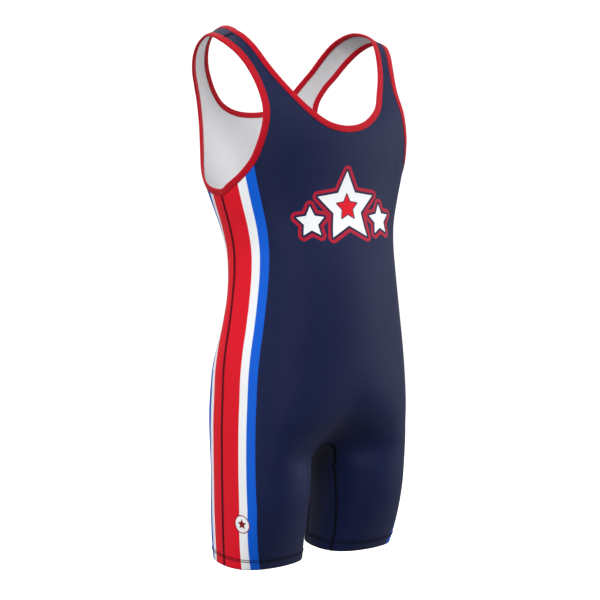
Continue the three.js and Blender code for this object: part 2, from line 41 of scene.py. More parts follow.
# Levels: the hem, the fork where the gusset's arch starts, the arch's top and an armhole's low point.
HEM_Z = -833
HEM_TOP = HEM_Z + HEM_DEPTH
FORK_Z = -690
ARCH_TOP_Z = -650
UNDERARM_LEVEL = -247
# The rows of a panel slope beside the arch. At the side seam the first body row is at this level.
BODY_OUTER_START = -642
# How far the gusset hangs below its two seams at the centre line.
SADDLE_DIP = 5

# Where the shoulder seam meets the neck and the armhole.
SHOULDER_NECK_X = 127
SHOULDER_ARM_X = 163
# The straps slope down and outwards: full slope at z = 0, none below SLOPE_FROM.
SLOPE_FROM = -70
SHOULDER_SLOPE = 0.42
SHOULDER_X = 128

# How square the sections are, and the angles between which the outer half-width becomes the inner one.
QUARTER = math.pi / 2
SQUARENESS = 0.03
TURN_INWARD = (math.pi / 3, 2 * math.pi / 3)
GUSSET_LEVELS = (HEM_Z, FORK_Z)
GUSSET_ANGLES = (math.radians(152), math.radians(160))

# Where two lobes meet, the cloth is drawn in beside the centre line, so that it runs smoothly across it.
# The pull is read at even levels and eased over a window of them.
VALLEY_REACH = 22
VALLEY_LEAST = 0.4
LOBE_LEAST = 0.5
PULL_TOP = 40.0
PULL_STEP = 2.0
PULL_WINDOW = 33

# The columns of the sections, as in the CAD part.
SECTION_COLUMNS = ("level", "z", "width", "depth", "lobe", "reach")
# Below the shoulders both sides share their levels and widths, and z is the level. A row has the level
# and the width, then depth, lobe and reach of the front, and the same of the back.
BODY_SECTIONS = [
    (-833, 157, (56, 91, 69), (77, 91, 69)),
    (-797, 158.5, (73, 93, 66), (80, 93, 66)),
    (-760, 159.5, (86, 94, 66), (80, 94, 66)),
    (-720, 160, (95, 95, 68), (78, 95, 68)),
    (-690, 160.5, (98, 95, 70), (77, 95, 70)),
    (-668, 160.5, (101, 94, 80), (79, 95, 80)),
    (-650, 160.5, (104, 90, 101), (82, 92, 104)),
    (-637, 160.5, (107, 83, 104), (85, 88, 109)),
    (-620, 160.5, (112, 71, 107), (89, 81, 118)),
    (-600, 160, (120, 54, 111), (93, 73, 128)),
    (-565, 158.5, (129, 29, 117), (97, 55, 140)),
    (-530, 157, (133, 9, 122), (97, 34, 135)),
    (-493, 152.5, (135, 0, 125), (88, 12, 128)),
    (-455, 145.5, (136, 0, 125), (77, 0, 125)),
    (-418, 140, (135, 0, 125), (68, 0, 125)),
    (-369, 135.5, (130, 0, 125), (75, 0, 125)),
    (-343, 136, (124, 0, 125), (83, 0, 125)),
    (-305, 143.5, (112, 0, 125), (98, 0, 125)),
    (-268, 155, (106, 0, 125), (113, 0, 125)),
    (-235, 164, (106, 0, 125), (127, 0, 125)),
    (-200, 171, (109, 0, 125), (140, 0, 125)),
    (-165, 176, (110, 0, 125), (151, 0, 125)),
]
# The rows above them, with all the columns.
FRONT_TOP = [
    (-129, -130, 180, 102, 0, 125),
    (-94, -100, 181, 83, 0, 125),
    (-46, -60, 184, 56, 0, 125),
    (-6, -30, 186, 30, 0, 125),
    (31, -9, 187, 0, 0, 125),
    (57, -2, 187, -25, 0, 125),
]
BACK_TOP = [
    (-126, -126, 180, 158, 0, 125),
    (-95, -95, 182, 156, 0, 125),
    (-65, -65, 184, 147, 0, 125),
    (-35, -38, 186, 131, 0, 125),
    (-4, -17, 187, 108, 0, 125),
    (27, -5, 187, 80, 0, 125),
    (57, 0, 187, 52, 0, 125),
    (84, -2, 187, 25, 0, 125),
    (110, -9, 187, 0, 0, 125),
    (147, -30, 187, -30, 0, 125),
]

# x and level of each cut edge, from its lowest point up to the shoulder seam.
FRONT_NECK = [
    (0, -151), (32, -145), (58, -127), (81, -93), (104, -46), (117, -6), (SHOULDER_NECK_X, 31),
]
BACK_NECK = [
    (0, -126), (34, -122), (59, -110), (76, -92), (91, -71), (104, -50), (113, -25), (119, 5),
    (123, 45), (126, 82), (SHOULDER_NECK_X, 110),
]
FRONT_ARMHOLE = [
    (math.inf, UNDERARM_LEVEL), (161.5, -238), (157, -222), (149, -200), (143, -175), (135, -132),
    (133.5, -97), (142, -48), (154, -6), (SHOULDER_ARM_X, 31),
]
BACK_ARMHOLE = [
    (math.inf, UNDERARM_LEVEL), (155, -240), (143, -221), (131, -197), (122, -168), (118, -138),
    (121, -112), (131, -88), (144, -65), (152, -42), (158, -12), (162, 25), (165, 70),
    (SHOULDER_ARM_X, 110),
]

# Cells of the fine shells, in numbers and, for UPPER_CELL, in millimetres.
COLUMNS = 60
HEM_ROWS = 7
LEG_ROWS = 40
ARCH_ROWS = 22
BODY_ROWS = 96
UPPER_FROM = -262
UPPER_CELL = 3.4
EDGE_ROWS = 130
MIDDLE_ROWS = 39
TOP_CELLS = 11
SEAM_ROWS = 5
GUSSET_COLUMNS = 40
BINDING_ROWS = 150
# Points closer than a part of a millimetre are one.
PARTS_OF_MM = 200
# The wall thins from HEM_WALL to WALL between two rows this far apart.
HEM_STEP = 0.8


def curve_through(keys, values, at):
    """A smooth curve through values at keys: Catmull-Rom with uneven spacing, as in the CAD part."""
    keys = np.asarray(keys, float)
    values = np.asarray(values, float)
    spans = np.diff(keys)
    slopes = np.diff(values) / spans
    tangents = np.empty(len(keys))
    tangents[0] = slopes[0]
    tangents[-1] = slopes[-1]
    tangents[1:-1] = (slopes[:-1] * spans[1:] + slopes[1:] * spans[:-1]) / (spans[:-1] + spans[1:])
    at = np.asarray(at, float)
    i = np.clip(np.searchsorted(keys, at, side="right") - 1, 0, len(keys) - 2)
    span = spans[i]
    t = (at - keys[i]) / span
    t2 = t * t
    t3 = t2 * t
    start = (2 * t3 - 3 * t2 + 1) * values[i] + (t3 - 2 * t2 + t) * span * tangents[i]
    return start + (3 * t2 - 2 * t3) * values[i + 1] + (t3 - t2) * span * tangents[i + 1]


def smooth_step(low, high, at):
    t = np.clip((np.asarray(at, float) - low) / (high - low), 0, 1)
    return t * t * (3 - 2 * t)


def unit(vectors):
    length = np.linalg.norm(vectors, axis=-1, keepdims=True)
    return vectors / np.maximum(length, 1e-12)


class Side:
    """One side of the suit. way is -1 for the front and +1 for the back."""

    def __init__(self, sections, neck_rows, armhole_rows, way):
        self.way = way
        self.shoulder = armhole_rows[-1][1]
        self.columns = dict(zip(SECTION_COLUMNS, np.array(sections, float).T))
        self.pull_levels = np.arange(HEM_Z, PULL_TOP, PULL_STEP)
        window = np.hanning(PULL_WINDOW)
        self.pulls = np.convolve(self.sharp_pull(self.pull_levels), window / window.sum(), "same")
        self.neck = self.edge(neck_rows, True)
        self.armhole = self.edge(armhole_rows, False)
        self.measure()

    def read(self, name, level):
        return curve_through(self.columns["level"], self.columns[name], level)

    @staticmethod
    def across(angle):
        return (np.cos(angle) - SQUARENESS * np.cos(3 * angle)) / (1 - SQUARENESS)

    @staticmethod
    def outwards(angle):
        return (np.sin(angle) + SQUARENESS * np.sin(3 * angle)) / (1 - SQUARENESS)

    def x_at(self, angle, level):
        lobe = np.maximum(0, self.read("lobe", level))
        outer = self.read("width", level) - lobe
        half = outer + (self.read("reach", level) - outer) * smooth_step(*TURN_INWARD, angle)
        return lobe + half * self.across(angle)

    def angle_at(self, x, level):
        """The angle at which a section reaches x: 0 at the side seam, a half turn at the inner side."""
        x, level = np.broadcast_arrays(np.asarray(x, float), np.asarray(level, float))
        lobe = np.maximum(0, self.read("lobe", level))
        outer = self.read("width", level) - lobe
        reach = self.read("reach", level)
        low = np.zeros(x.shape)
        high = np.full(x.shape, math.pi)
        halvings = 44
        for _ in range(halvings):
            middle = (low + high) / 2
            half = outer + (reach - outer) * smooth_step(*TURN_INWARD, middle)
            beyond = lobe + half * self.across(middle) > x
            low = np.where(beyond, middle, low)
            high = np.where(beyond, high, middle)
        return (low + high) / 2

    def sharp_pull(self, level):
        """How much each section is drawn in beside the centre line, before the easing."""
        edge = self.angle_at(np.zeros(level.shape), level)
        step = 0.002
        dy = self.read("depth", level) * (self.outwards(edge) - self.outwards(edge - step))
        dx = self.x_at(edge, level) - self.x_at(edge - step, level)
        slope = np.clip(dy / dx, -2, 2) * smooth_step(FORK_Z, ARCH_TOP_Z, level)
        pull = slope / np.maximum(VALLEY_LEAST, self.outwards(edge))
        return np.where((self.read("lobe", level) > LOBE_LEAST) & (level > FORK_Z), pull, 0)

    def point(self, angle, level):
        """Points of the outer surface for x >= 0, in millimetres."""
        angle, level = np.broadcast_arrays(np.asarray(angle, float), np.asarray(level, float))
        x = self.x_at(angle, level)
        fade = np.exp(-np.maximum(0, x) / VALLEY_REACH)
        pull = np.interp(level, self.pull_levels, self.pulls) * x * fade
        y = (self.read("depth", level) - pull) * self.outwards(angle)
        z = self.read("z", level)
        z = z - smooth_step(SLOPE_FROM, 0, z) * SHOULDER_SLOPE * (x - SHOULDER_X)
        return np.stack([x, self.way * y, z], axis=-1)

    def normal(self, angle, level):
        """Unit normals of the outer surface, straight sideways at the side seam."""
        step = 0.01
        a = np.maximum(angle, step)
        along_angle = self.point(a + step, level) - self.point(a - step, level)
        along_level = self.point(a, level + 1) - self.point(a, level - 1)
        normal = unit(np.cross(along_angle, along_level) * self.way)
        normal[..., 1] = np.where(angle < 2 * step, 0, normal[..., 1])
        return unit(normal)

    def edge(self, rows, is_neck):
        """A cut edge as a smooth curve: a function from a share of it to angle and level."""
        xs = np.array([row[0] for row in rows])
        levels = np.array([row[1] for row in rows], float)
        beyond_all = 1e6
        angles = self.angle_at(np.where(np.isinf(xs), beyond_all, xs), levels)
        angles[0] = QUARTER if is_neck else 0
        ghost = 2 * QUARTER - angles[1] if is_neck else -angles[1]
        angles = np.concatenate([[ghost], angles])
        levels = np.concatenate([[levels[1]], levels])
        places = self.point(np.abs(angles), levels)
        gaps = np.linalg.norm(np.diff(places, axis=0), axis=1)
        gaps[0] = gaps[1]
        keys = np.concatenate([[0], np.cumsum(gaps)])
        start = keys[1]
        length = keys[-1] - start
        return lambda share: (
            curve_through(keys, angles, start + np.asarray(share) * length),
            curve_through(keys, levels, start + np.asarray(share) * length),
        )

    @staticmethod
    def gusset_angle(level):
        """The angle of the gusset's seam below the fork."""
        return curve_through(GUSSET_LEVELS, GUSSET_ANGLES, level)

    def arch(self, share):
        """The gusset seam above the fork, up to the centre line."""
        turn = np.asarray(share, float) * QUARTER
        start = self.x_at(self.gusset_angle(FORK_Z), FORK_Z)
        level = FORK_Z + (ARCH_TOP_Z - FORK_Z) * np.sin(turn)
        return self.angle_at(start * np.cos(turn), level), level

    def measure(self):
        """Tables of the distance along each section from the side seam, for the printed bands."""
        highest = 30
        self.measured_levels = np.linspace(HEM_Z, highest, 260)
        self.measured_angles = np.linspace(0, math.pi, 181)
        angle, level = np.meshgrid(self.measured_angles, self.measured_levels)
        places = self.point(angle, level)
        steps = np.linalg.norm(np.diff(places, axis=1), axis=2)
        self.lengths = np.concatenate([np.zeros((len(steps), 1)), np.cumsum(steps, axis=1)], axis=1)

    def side_distance(self, angle, level):
        """The distance from the side seam, read from those tables."""
        rows = np.interp(level, self.measured_levels, np.arange(len(self.measured_levels)))
        cells = np.interp(angle, self.measured_angles, np.arange(len(self.measured_angles)))
        i = np.clip(rows.astype(int), 0, len(self.measured_levels) - 2)
        j = np.clip(cells.astype(int), 0, len(self.measured_angles) - 2)
        u = rows - i
        v = cells - j
        low = self.lengths[i, j] * (1 - v) + self.lengths[i, j + 1] * v
        high = self.lengths[i + 1, j] * (1 - v) + self.lengths[i + 1, j + 1] * v
        return low * (1 - u) + high * u

    def cut_frame(self, is_neck, share):
        """Angle and level at shares of a cut edge, and their change for a millimetre into the cloth."""
        edge = self.neck if is_neck else self.armhole
        share = np.asarray(share, float)
        step = 0.004
        low_part = 0.35
        angle, level = edge(share)
        after = edge(np.minimum(1, share + step))
        before = edge(np.maximum(0, share - step))
        along = unit(self.point(np.abs(after[0]), after[1]) - self.point(np.abs(before[0]), before[1]))
        inward = unit(np.cross(self.normal(angle, level), along))
        towards = np.tile([1.0, 0.0, -0.6] if is_neck else [-1.0, 0.0, 0.0], (len(share), 1))
        towards[share < low_part, 2] = -1
        inward *= np.where((inward * towards).sum(-1, keepdims=True) < 0, -1, 1)
        base = self.point(angle, level)
        turn = 0.01
        along_angle = (self.point(angle + turn, level) - base) / turn
        along_level = self.point(angle, level + 1) - base
        aa = (along_angle**2).sum(-1)
        al = (along_angle * along_level).sum(-1)
        ll = (along_level**2).sum(-1)
        ia = (inward * along_angle).sum(-1)
        il = (inward * along_level).sum(-1)
        determinant = aa * ll - al * al
        angle_rate = (ia * ll - il * al) / determinant
        level_rate = (il * aa - ia * al) / determinant
        foot = share == 0
        angle_rate[foot] = 0
        level_rate[foot] = -1 / np.sqrt(ll[foot])
        top = share == 1
        level_rate[top] = 0
        angle_rate[top] = np.sign(angle_rate[top]) / np.sqrt(aa[top])
        return angle, level, angle_rate, level_rate


def all_sections(part, top):
    """All rows of one side. part is its place in a row of BODY_SECTIONS."""
    return [(row[0], row[0], row[1], *row[part]) for row in BODY_SECTIONS] + top


FRONT = Side(all_sections(2, FRONT_TOP), FRONT_NECK, FRONT_ARMHOLE, -1)
BACK = Side(all_sections(3, BACK_TOP), BACK_NECK, BACK_ARMHOLE, 1)


def leg_levels():
    """The levels of the rows of a leg: the turned-up hem, then the rest up to the fork."""
    return np.concatenate([
        np.linspace(HEM_Z, HEM_TOP, HEM_ROWS + 1),
        np.linspace(HEM_TOP + HEM_STEP, FORK_Z, LEG_ROWS - HEM_ROWS),
    ])


def lower_grid(side):
    """Angles and levels of half a panel up to UPPER_FROM: the leg, beside the arch, and the body."""
    legs = leg_levels()
    ends = [np.stack([np.zeros(len(legs)), legs, side.gusset_angle(legs), legs], 1)]
    share = np.arange(1, ARCH_ROWS + 1) / ARCH_ROWS
    angle, level = side.arch(share)
    angle[-1] = side.angle_at(0.0, ARCH_TOP_Z)
    outer = FORK_Z + (BODY_OUTER_START - FORK_Z) * share
    ends.append(np.stack([np.zeros(len(share)), outer, angle, level], 1))
    share = np.arange(1, BODY_ROWS + 1) / BODY_ROWS
    outer = BODY_OUTER_START + (UPPER_FROM - BODY_OUTER_START) * share
    level = ARCH_TOP_Z + (UPPER_FROM - ARCH_TOP_Z) * share
    angle = side.angle_at(np.zeros(len(level)), level)
    ends.append(np.stack([np.zeros(len(share)), outer, angle, level], 1))
    ends = np.concatenate(ends)
    across = np.linspace(0, 1, COLUMNS + 1)[None, :]
    angles = ends[:, 0:1] + (ends[:, 2:3] - ends[:, 0:1]) * across
    levels = ends[:, 1:2] + (ends[:, 3:4] - ends[:, 1:2]) * across
    return angles, levels


def upper_rim(side, last_angles):
    """The rim of half a panel above UPPER_FROM, once round, as angles and levels."""
    share = np.arange(EDGE_ROWS + 1) / EDGE_ROWS
    neck, armhole = (side.cut_frame(is_neck, share) for is_neck in (True, False))
    neck_angle, neck_level, armhole_angle, armhole_level = (
        frame[k] + frame[k + 2] * CUT_INSET for frame in (neck, armhole) for k in (0, 1)
    )
    middle = np.linspace(UPPER_FROM, neck_level[0], MIDDLE_ROWS + 1)[1:-1]
    top = np.linspace(neck_angle[-1], armhole_angle[-1], TOP_CELLS + 1)[1:-1]
    seam = np.linspace(armhole_level[0], UPPER_FROM, SEAM_ROWS + 1)[1:-1]
    angles = [last_angles, np.full(len(middle), last_angles[-1]), neck_angle, top, armhole_angle[::-1]]
    levels = [np.full(len(last_angles), float(UPPER_FROM)), middle, neck_level]
    levels += [np.full(len(top), float(side.shoulder)), armhole_level[::-1]]
    return np.concatenate([*angles, np.zeros(len(seam))]), np.concatenate([*levels, seam])


def inside_rim(points, rim, clearance):
    """Which points lie inside the rim and clear of it, in the plane of side distance and level."""
    inside = np.zeros(len(points), bool)
    clear = np.ones(len(points), bool)
    for a, b in zip(rim, np.roll(rim, -1, axis=0)):
        edge = b - a
        offset = points - a
        if edge[1] != 0:
            crosses = (a[1] > points[:, 1]) != (b[1] > points[:, 1])
            inside ^= crosses & (offset[:, 0] < edge[0] * offset[:, 1] / edge[1])
        share = np.clip((offset @ edge) / max(1e-9, edge @ edge), 0, 1)
        clear &= np.linalg.norm(offset - share[:, None] * edge, axis=1) > clearance
    return inside & clear


def upper_part(side, last_angles):
    """Half a panel above UPPER_FROM: angles, levels and triangles that fit between its cut edges."""
    rim_angles, rim_levels = upper_rim(side, last_angles)
    angles = [rim_angles]
    levels = [rim_levels]
    rim = np.stack([side.side_distance(rim_angles, rim_levels), rim_levels], 1)
    clearance = 0.45 * UPPER_CELL
    for k, level in enumerate(np.arange(UPPER_FROM + UPPER_CELL, side.shoulder - 1, UPPER_CELL)):
        angle = np.linspace(0, QUARTER, 400)
        distance = side.side_distance(angle, np.full(len(angle), level))
        wanted = np.arange((k % 2) * UPPER_CELL / 2, distance[-1], UPPER_CELL)
        angle = np.interp(wanted, distance, angle)
        keep = inside_rim(np.stack([wanted, np.full(len(wanted), level)], 1), rim, clearance)
        angles.append(angle[keep])
        levels.append(np.full(keep.sum(), level))
    angles = np.concatenate(angles)
    levels = np.concatenate(levels)
    flat = np.stack([side.side_distance(angles, levels), levels], 1)
    _, _, cells, origins, _, _ = delaunay_2d_cdt(
        [Vector(place) for place in flat], [], [list(range(len(rim)))], 1, 1e-5, True
    )
    first = np.array([found[0] for found in origins])
    cells = first[np.array(cells)]
    keep = inside_rim(flat[cells].mean(axis=1), rim, 0.001)
    return angles, levels, cells[keep].tolist()


def grid_cells(rows, cols):
    """The four-sided cells of a grid of points."""
    index = np.arange(rows * cols).reshape(rows, cols)
    quads = np.stack([index[:-1, :-1], index[:-1, 1:], index[1:, 1:], index[1:, :-1]], -1)
    return quads.reshape(-1, 4).tolist()


class Shell:
    """Vertices, faces and attributes of a closed cloth shell, gathered from grids."""

    def __init__(self):
        self.found = {}
        self.outer = []
        self.inner = []
        self.facts = []
        self.cells = []

    def add(self, outer, inner, facts, cells, flip):
        """Adds points and cells. Points that are there already are used again."""
        keys = np.round(outer * PARTS_OF_MM).astype(int).tolist()
        index = []
        for key, *spot in zip(keys, outer, inner, facts):
            key = tuple(key)
            if key not in self.found:
                self.found[key] = len(self.outer)
                for store, value in zip((self.outer, self.inner, self.facts), spot):
                    store.append(value)
            index.append(self.found[key])
        for cell in cells:
            ring = tuple(index[v] for v in (reversed(cell) if flip else cell))
            if len(set(ring)) == len(ring):
                self.cells.append(ring)

    def add_grid(self, outer, inner, facts, flip):
        flat = [value.reshape(outer.shape[0] * outer.shape[1], -1) for value in (outer, inner, facts)]
        self.add(*flat, grid_cells(*outer.shape[:2]), flip)

    def build(self, name, material, lining, folded):
        """An object of this shell. folded tells from a vertex's facts if the outer cloth shows inside."""
        count = len(self.outer)
        edges = set()
        for cell in self.cells:
            edges.update(zip(cell, cell[1:] + cell[:1]))
        faces = []
        slots = []
        cut_faces = []
        for cell in self.cells:
            faces.append(cell)
            slots.append(0)
            faces.append(tuple(v + count for v in reversed(cell)))
            slots.append(0 if all(folded(self.facts[v]) for v in cell) else 1)
            for a, b in zip(cell, cell[1:] + cell[:1]):
                if (b, a) not in edges:
                    faces.append((b, a, a + count, b + count))
                    slots.append(0)
                    cut_faces.append(len(faces) - 1)
        places = np.array(self.outer + self.inner) / 1000
        facts = np.array(self.facts + self.facts)
        obj = mesh_object(name, places, faces, [material, lining], slots)
        # The faces of the cut edges are flat, so that the cloth beside a seam keeps its own shading.
        for face in cut_faces:
            obj.data.polygons[face].use_smooth = False
        store_facts(obj, facts.T)
        return obj


# What each cloth vertex knows, in millimetres: its distance from the side seam and from the centre line,
# which is below 0 on the wearer's right, and its level. A binding has its length, width and way round.
FACTS = ("side_distance", "centre_distance", "level")


def store_facts(obj, columns):
    for fact, values in zip(FACTS, columns):
        layer = obj.data.attributes.new(fact, "FLOAT", "POINT")
        layer.data.foreach_set("value", values.astype(np.float32))


def placed(name, data):
    """An object in the scene with this data."""
    obj = bpy.data.objects.new(name, data)
    bpy.context.scene.collection.objects.link(obj)
    return obj


def set_inputs(node, values):
    for name, value in values.items():
        node.inputs[name].default_value = value


def mesh_object(name, places, faces, materials, slots=None):
    mesh = bpy.data.meshes.new(name)
    mesh.from_pydata([tuple(p) for p in places], [], faces)
    for material in materials:
        mesh.materials.append(material)
    if slots is not None:
        mesh.polygons.foreach_set("material_index", np.array(slots, np.int32))
    mesh.polygons.foreach_set("use_smooth", np.ones(len(mesh.polygons), bool))
    mesh.update()
    return placed(name, mesh)


def mirrored(points):
    return points * np.array([-1.0, 1.0, 1.0])


def in_hem(fact):
    """Whether a vertex with these facts lies in the turned-up hem."""
    return fact[2] <= HEM_TOP + 0.1


def inner_points(outer, normal, levels):
    """The inside of the cloth, a wall below its outer points."""
    return outer - normal * np.where(levels <= HEM_TOP, HEM_WALL, WALL)[..., None]


def cloth_points(side, angles, levels):
    """The cloth's outer and inner points. The centre line and the seams lie exactly in their planes."""
    outer = side.point(angles, levels)
    normal = side.normal(angles, levels)
    centre_width = 0.02
    on_centre = outer[..., 0] < centre_width
    outer[on_centre, 0] = 0
    normal[on_centre, 0] = 0
    inner = inner_points(outer, unit(normal), levels)
    at_seam = (angles == 0) | (np.abs(levels - side.shoulder) < 1e-6)
    outer[at_seam, 1] = side.way * SEAM_HALF_GAP
    inner[at_seam, 1] = side.way * SEAM_HALF_GAP
    return outer, inner


def panel(side, name, material, lining):
    """The front or the back panel: half of it and its mirror image."""
    shell = Shell()
    flip = side is FRONT
    angles, levels = lower_grid(side)
    lower = (angles.ravel(), levels.ravel(), grid_cells(*angles.shape))
    parts = [lower, upper_part(side, angles[-1])]
    for angles, levels, cells in parts:
        outer, inner = cloth_points(side, angles, levels)
        distance = side.side_distance(angles, levels)
        total = side.side_distance(side.angle_at(np.zeros(levels.shape), levels), levels)
        facts = np.stack([distance, total - distance, levels], -1)
        shell.add(outer, inner, facts, cells, flip)
        shell.add(mirrored(outer), mirrored(inner), facts * np.array([1, -1, 1]), cells, not flip)
    return shell.build(name, material, lining, in_hem)


def gusset_leg(levels):
    """Outer points and normals of the gusset below the fork: front seam, inner thigh, back seam."""
    share = np.linspace(0, 1, GUSSET_COLUMNS // 2 + 1)[None, :]
    points = []
    normals = []
    for side in (FRONT, BACK):
        seam = side.gusset_angle(levels)[:, None]
        angle = seam + (math.pi - seam) * share
        level = np.broadcast_to(levels[:, None], angle.shape)
        normal = side.normal(np.minimum(angle, math.pi - 0.02), level)
        normal[:, -1, 1] = 0
        points.append(side.point(angle, level))
        normals.append(unit(normal))
    return tuple(np.concatenate([front, back[:, -2::-1]], axis=1) for front, back in (points, normals))


def gusset_saddle(shares):
    """Outer points of the gusset above the fork, from the inner thigh up to the centre line."""
    across = np.linspace(0, 1, GUSSET_COLUMNS + 1)[:, None]
    foot = gusset_leg(np.array([float(FORK_Z)]))[0][0]
    lower_by = 10.0
    below = gusset_leg(np.array([FORK_Z - lower_by]))[0][0]
    tops = [side.point(*side.arch(np.array([1.0])))[0] for side in (FRONT, BACK)]
    top = tops[0] + (tops[1] - tops[0]) * across
    top[:, 0] = 0
    top[:, 2] -= SADDLE_DIP * np.sin(across[:, 0] * math.pi)
    fullness = 1.1
    pull = fullness * np.linalg.norm(foot - top, axis=1, keepdims=True)
    up = unit(foot - below) * pull
    over = np.array([-1.0, 0, 0]) * pull
    t = shares[:, None, None]
    rough = foot * (2 * t**3 - 3 * t**2 + 1) + up * (t**3 - 2 * t**2 + t)
    rough = rough + top * (3 * t**2 - 2 * t**3) + over * (t**3 - t**2)
    front_miss = FRONT.point(*FRONT.arch(shares)) - rough[:, 0]
    back_miss = BACK.point(*BACK.arch(shares)) - rough[:, -1]
    return rough + front_miss[:, None] * (1 - across) + back_miss[:, None] * across


def gusset(name, material, lining):
    """The inner-leg gusset: both legs and the saddle between them."""
    legs = leg_levels()
    points, normals = gusset_leg(legs)
    shares = np.arange(1, ARCH_ROWS + 1) / ARCH_ROWS
    saddle = gusset_saddle(shares)
    step = 0.02
    upwards = saddle - gusset_saddle(shares - step)
    turned = np.cross(upwards, np.gradient(saddle, axis=1))
    turned = unit(np.where(turned[..., 2:] > 0, -turned, turned))
    for side, column in ((FRONT, 0), (BACK, -1)):
        angle, level = side.arch(shares)
        turned[:, column] = side.normal(angle, level)
    saddle[-1, :, 0] = 0
    turned[-1, :, 0] = 0
    outer = np.concatenate([points, saddle])
    normal = unit(np.concatenate([normals, turned]))
    # For the knit alone, the saddle's level goes on rising along it, and its cloth is far from any band.
    saddle_rise = 60
    no_band = 400
    level = np.concatenate([legs, FORK_Z + saddle_rise * shares])[:, None]
    inner = inner_points(outer, normal, level)
    steps = np.linalg.norm(np.diff(outer, axis=1), axis=2)
    across = np.concatenate([np.zeros((len(outer), 1)), np.cumsum(steps, axis=1)], axis=1)
    facts = np.stack([no_band + across, no_band + across, np.broadcast_to(level, across.shape)], -1)
    shell = Shell()
    shell.add_grid(outer, inner, facts, True)
    shell.add_grid(mirrored(outer), mirrored(inner), facts, False)
    return shell.build(name, material, lining, in_hem)


# The folded binding's section: millimetres in from its outer edge, and over the cloth's outer face.
BINDING_SECTION = (
    (10.4, 0.05), (10.35, 0.6), (9.8, 0.95), (8.9, 0.95), (8.2, 0.72), (7.5, 1.0), (6.0, 1.28),
    (4.0, 1.4), (2.2, 1.38), (1.1, 1.15), (0.4, 0.65), (0.05, -0.1), (0.0, -0.6), (0.05, -1.2),
    (0.4, -1.9), (1.1, -2.35), (2.2, -2.55), (4.0, -2.6), (6.0, -2.5), (7.6, -2.3), (9.0, -2.15),
    (9.4, -1.8), (9.4, -1.25), (1.3, -1.25), (1.3, 0.05),
)
# The groove of that section, where the stitches run.
BINDING_GROOVE = (8.2, 0.72)
BINDING_REACH = 9.5


def edge_points(side, is_neck, insets, heights):
    """Points and normals beside a cut edge: rows along it, columns at the insets and heights given."""
    share = np.arange(BINDING_ROWS + 1) / BINDING_ROWS
    angle, level, angle_rate, level_rate = side.cut_frame(is_neck, share)
    angles = np.abs(angle[:, None] + angle_rate[:, None] * insets)
    levels = level[:, None] + level_rate[:, None] * insets
    normal = side.normal(angles, levels)
    points = side.point(angles, levels)
    if is_neck:
        normal[0, :, 0] = 0
        normal = unit(normal)
        points[0, :, 0] = 0
    return points + normal * np.asarray(heights)[:, None], normal


def edge_loop(is_neck, insets, heights):
    """The whole loop of a cut edge, the neck's or the left armhole's, as points and normals."""
    front = edge_points(FRONT, is_neck, insets, heights)
    back = edge_points(BACK, is_neck, insets, heights)
    loops = []
    for f, b in zip(front, back):
        loop = np.concatenate([f[:-1], b[::-1]])
        if is_neck:
            loop = np.concatenate([loop, mirrored(loop[1:-1])[::-1]])
        else:
            loop = loop[:-1][::-1]
        loops.append(loop)
    return loops


def binding(name, is_neck, is_right, material):
    """The folded strip round the neck or round one armhole."""
    section = np.array(BINDING_SECTION)
    points, _ = edge_loop(is_neck, section[:, 0], section[:, 1])
    if is_right:
        points = mirrored(points)[::-1]
    rows, cols = points.shape[:2]
    index = np.arange(rows * cols).reshape(rows, cols)
    following = np.roll(index, -1, axis=0)
    quads = [index, following, np.roll(following, -1, axis=1), np.roll(index, -1, axis=1)]
    faces = np.stack(quads, -1).reshape(-1, 4).tolist()
    obj = mesh_object(name, points.reshape(-1, 3) / 1000, faces, [material])
    groove = BINDING_SECTION.index(BINDING_GROOVE)
    along = np.linalg.norm(points - np.roll(points, 1, axis=0), axis=2)[:, groove].cumsum()
    around = np.linalg.norm(np.diff(section, axis=0, prepend=section[:1]), axis=1).cumsum()
    store_facts(obj, (np.repeat(along, cols), np.tile(section[:, 0], rows), np.tile(around, rows)))
    return obj


# Threads, in millimetres.
THREAD = 0.34
THREAD_SIDES = 6
SEAM_HALF_WIDTH = 2.2
SEAM_PITCH = 1.8
# Length and gap of the stitches, and the radius of their thread.
SEAM_STITCH = (2.2, 0.5, THREAD)
HEM_STITCH = (2.8, 0.3, 0.52)
BINDING_STITCH = (2.3, 0.7, 0.28)
HEM_ROW_GAP = 3


def tubes(centres, normals, radii):
    """Vertices and faces of threads. centres and normals are (threads, rings, 3), one radius a ring."""
    count, rings = centres.shape[:2]
    along = unit(np.gradient(centres, axis=1))
    side = unit(np.cross(normals, along))
    up = np.cross(along, side)
    turn = np.arange(THREAD_SIDES) * 2 * math.pi / THREAD_SIDES
    ring = np.cos(turn)[:, None] * up[:, :, None] + np.sin(turn)[:, None] * side[:, :, None]
    points = centres[:, :, None] + ring * np.asarray(radii)[None, :, None, None]
    index = np.arange(count * rings * THREAD_SIDES).reshape(count, rings, THREAD_SIDES)
    here = index[:, :-1]
    following = index[:, 1:]
    quads = np.stack([here, following, np.roll(following, -1, 2), np.roll(here, -1, 2)], -1)
    faces = quads.reshape(-1, 4).tolist()
    faces += index[:, 0, :].tolist()
    faces += index[:, -1, ::-1].tolist()
    return points.reshape(-1, 3), faces


def resampled(points, normals, spacing, closed=False):
    """The path at an even spacing near the one asked for, with unit normals and side directions."""
    if closed:
        points = np.concatenate([points, points[:1]])
        normals = np.concatenate([normals, normals[:1]])
    keys = np.concatenate([[0], np.linalg.norm(np.diff(points, axis=0), axis=1).cumsum()])
    count = max(2, round(keys[-1] / spacing))
    at = np.linspace(0, keys[-1], count + 1)
    path = np.stack([np.interp(at, keys, points[:, k]) for k in range(3)], -1)
    lift = unit(np.stack([np.interp(at, keys, normals[:, k]) for k in range(3)], -1))
    along = unit(np.gradient(path, axis=0))
    return path, lift, unit(np.cross(lift, along))


